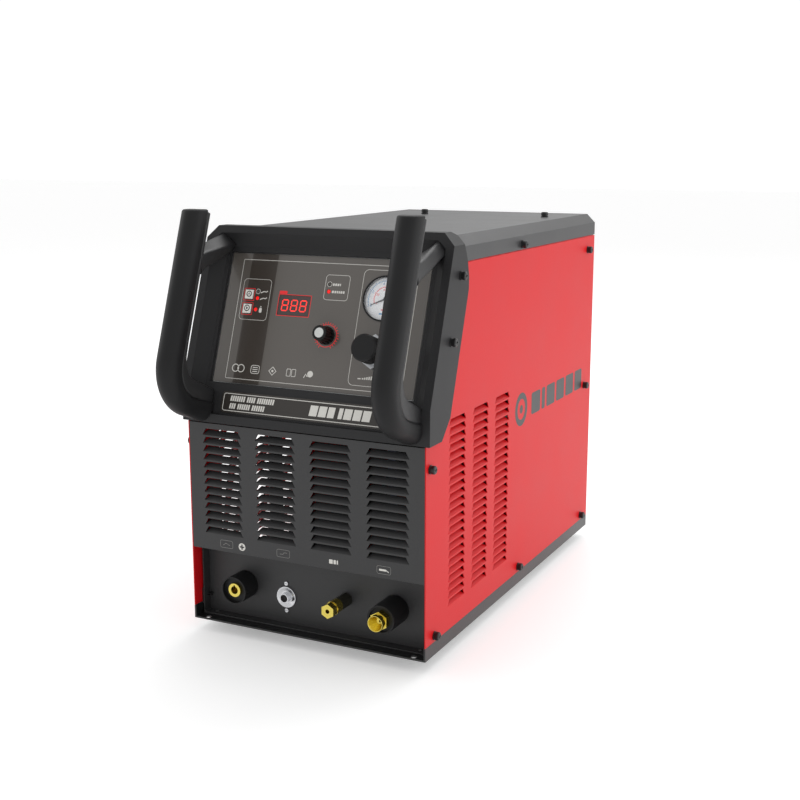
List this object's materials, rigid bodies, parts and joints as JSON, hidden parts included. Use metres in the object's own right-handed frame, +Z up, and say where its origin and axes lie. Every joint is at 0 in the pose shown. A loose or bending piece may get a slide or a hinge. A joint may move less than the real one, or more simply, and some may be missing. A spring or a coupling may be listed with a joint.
{
  "type": "air plasma cutter power unit",
  "caption": "Inverter air plasma cutter: louvred red and black cabinet, sloping control panel, two curved lifting handles, front brass connectors, rear fan",
  "frame": {"origin": "centre of the bounding box's bottom face, on the floor under the feet", "axes": "+X to the right seen from the front, +Y from the control panel to the rear, +Z up"},
  "size_m": [0.3238, 0.6426, 0.4924],
  "materials": {
    "black_paint": "satin black powder coat",
    "grey_paint": "satin dark grey powder coat",
    "red_paint": "satin red powder coat",
    "zinc_steel": "zinc-plated sheet",
    "bezel_plastic": "fine-textured moulded plastic",
    "handle_plastic": "moulded glass-filled plastic",
    "grip_rubber": "soft-touch black rubber",
    "foot_rubber": "black rubber",
    "overlay_film": "glossy tinted polycarbonate",
    "black_screw": "black oxide",
    "insulator_plastic": "black phenolic",
    "knob_plastic": "black moulded knob",
    "key_plastic": "light grey key",
    "toggle_plastic": "red lever",
    "hose_plastic": "blue polyurethane",
    "brass": "turned brass",
    "chrome": "bright nickel",
    "alloy": "turned aluminium",
    "copper": "enamelled copper wire",
    "ferrite": "grey ferrite",
    "dial_white": "white dial",
    "clear_lens": "clear lens",
    "display_red": "dark red filter",
    "lamp_red": "red lamp",
    "board": "green solder mask",
    "capacitor_sleeve": "dark blue sleeve"
  },
  "bodies": {
    "root": {"base_tray": "black_paint", "rubber_feet": "foot_rubber", "left_side_panel": "red_paint", "right_side_panel": "red_paint", "top_cover": "grey_paint", "rear_panel": "black_paint", "louvre_panel": "grey_paint", "connector_panel": "black_paint", "cross_rail": "zinc_steel", "front_bezel": "bezel_plastic", "control_plate": "zinc_steel", "control_overlay": "overlay_film", "label_strip": "overlay_film", "left_handle_frame": "handle_plastic", "right_handle_frame": "handle_plastic", "left_handle_grip": "grip_rubber", "right_handle_grip": "grip_rubber", "handle_bolts": "zinc_steel", "panel_screws": "black_screw", "work_socket_body": "insulator_plastic", "work_socket_contact": "brass", "signal_connector": "chrome", "signal_connector_insert": "insulator_plastic", "pilot_insulator": "insulator_plastic", "pilot_terminal": "brass", "torch_insulator": "insulator_plastic", "torch_connector": "brass", "potentiometer": "zinc_steel", "gauge_case": "insulator_plastic", "gauge_dial": "dial_white", "gauge_lens": "clear_lens", "regulator_body": "alloy", "display_module": "display_red", "indicator_lamps": "lamp_red", "control_board": "board", "inner_shelf": "zinc_steel", "heatsink": "alloy", "power_modules": "insulator_plastic", "power_board": "board", "bus_capacitors": "capacitor_sleeve", "transformer_core": "ferrite", "transformer_winding": "copper", "output_choke": "copper", "solenoid_valve": "brass", "air_hoses": "hose_plastic", "fan_frame": "insulator_plastic", "fan_guard": "chrome", "mains_switch": "insulator_plastic", "cable_gland": "insulator_plastic", "air_inlet": "brass"},
    "current_knob_body": {"potentiometer_shaft": "alloy", "current_knob": "knob_plastic", "knob_cap": "alloy"},
    "gauge_needle_body": {"gauge_needle": "insulator_plastic"},
    "regulator_spindle_body": {"regulator_spindle": "chrome"},
    "regulator_knob_body": {"regulator_knob": "knob_plastic"},
    "mode_key_body": {"mode_key": "key_plastic"},
    "gas_key_body": {"gas_key": "key_plastic"},
    "fan_rotor_body": {"fan_rotor": "insulator_plastic"},
    "mains_toggle_body": {"mains_toggle": "toggle_plastic"}
  },
  "joints": [
    {"name": "current_knob_turn", "type": "hinge", "parent": "root", "child": "current_knob_body", "pos_m": [0.0112, -0.21197, 0.35647], "axis": [0, -0.9426, 0.3338], "range_deg": [-150, 150]},
    {"name": "gauge_needle_turn", "type": "hinge", "parent": "root", "child": "gauge_needle_body", "pos_m": [0.0746, -0.195, 0.39841], "axis": [0, -0.9426, 0.3338], "range_deg": [-270, 0], "stiffness_Nm_per_rad": 0.0005},
    {"name": "regulator_spindle_turn", "type": "hinge", "parent": "root", "child": "regulator_spindle_body", "pos_m": [0.0746, -0.22903, 0.34723], "axis": [0, -0.9426, 0.3338], "range_deg": [-540, 540]},
    {"name": "regulator_knob_pull", "type": "slide", "parent": "regulator_spindle_body", "child": "regulator_knob_body", "axis": [0, -0.9426, 0.3338], "range_m": [0, 0.003]},
    {"name": "mode_key_press", "type": "slide", "parent": "root", "child": "mode_key_body", "axis": [0, 0.9426, -0.3338], "range_m": [0, 0.0006], "stiffness_N_per_m": 600},
    {"name": "gas_key_press", "type": "slide", "parent": "root", "child": "gas_key_body", "axis": [0, 0.9426, -0.3338], "range_m": [0, 0.0006], "stiffness_N_per_m": 600},
    {"name": "fan_rotor_spin", "type": "hinge", "parent": "root", "child": "fan_rotor_body", "pos_m": [0, 0.25415, 0.315], "axis": [0, 1, 0], "continuous": true},
    {"name": "mains_toggle_throw", "type": "hinge", "parent": "root", "child": "mains_toggle_body", "pos_m": [0.078, 0.29735, 0.165], "axis": [1, 0, 0], "range_deg": [0, 50]}
  ]
}
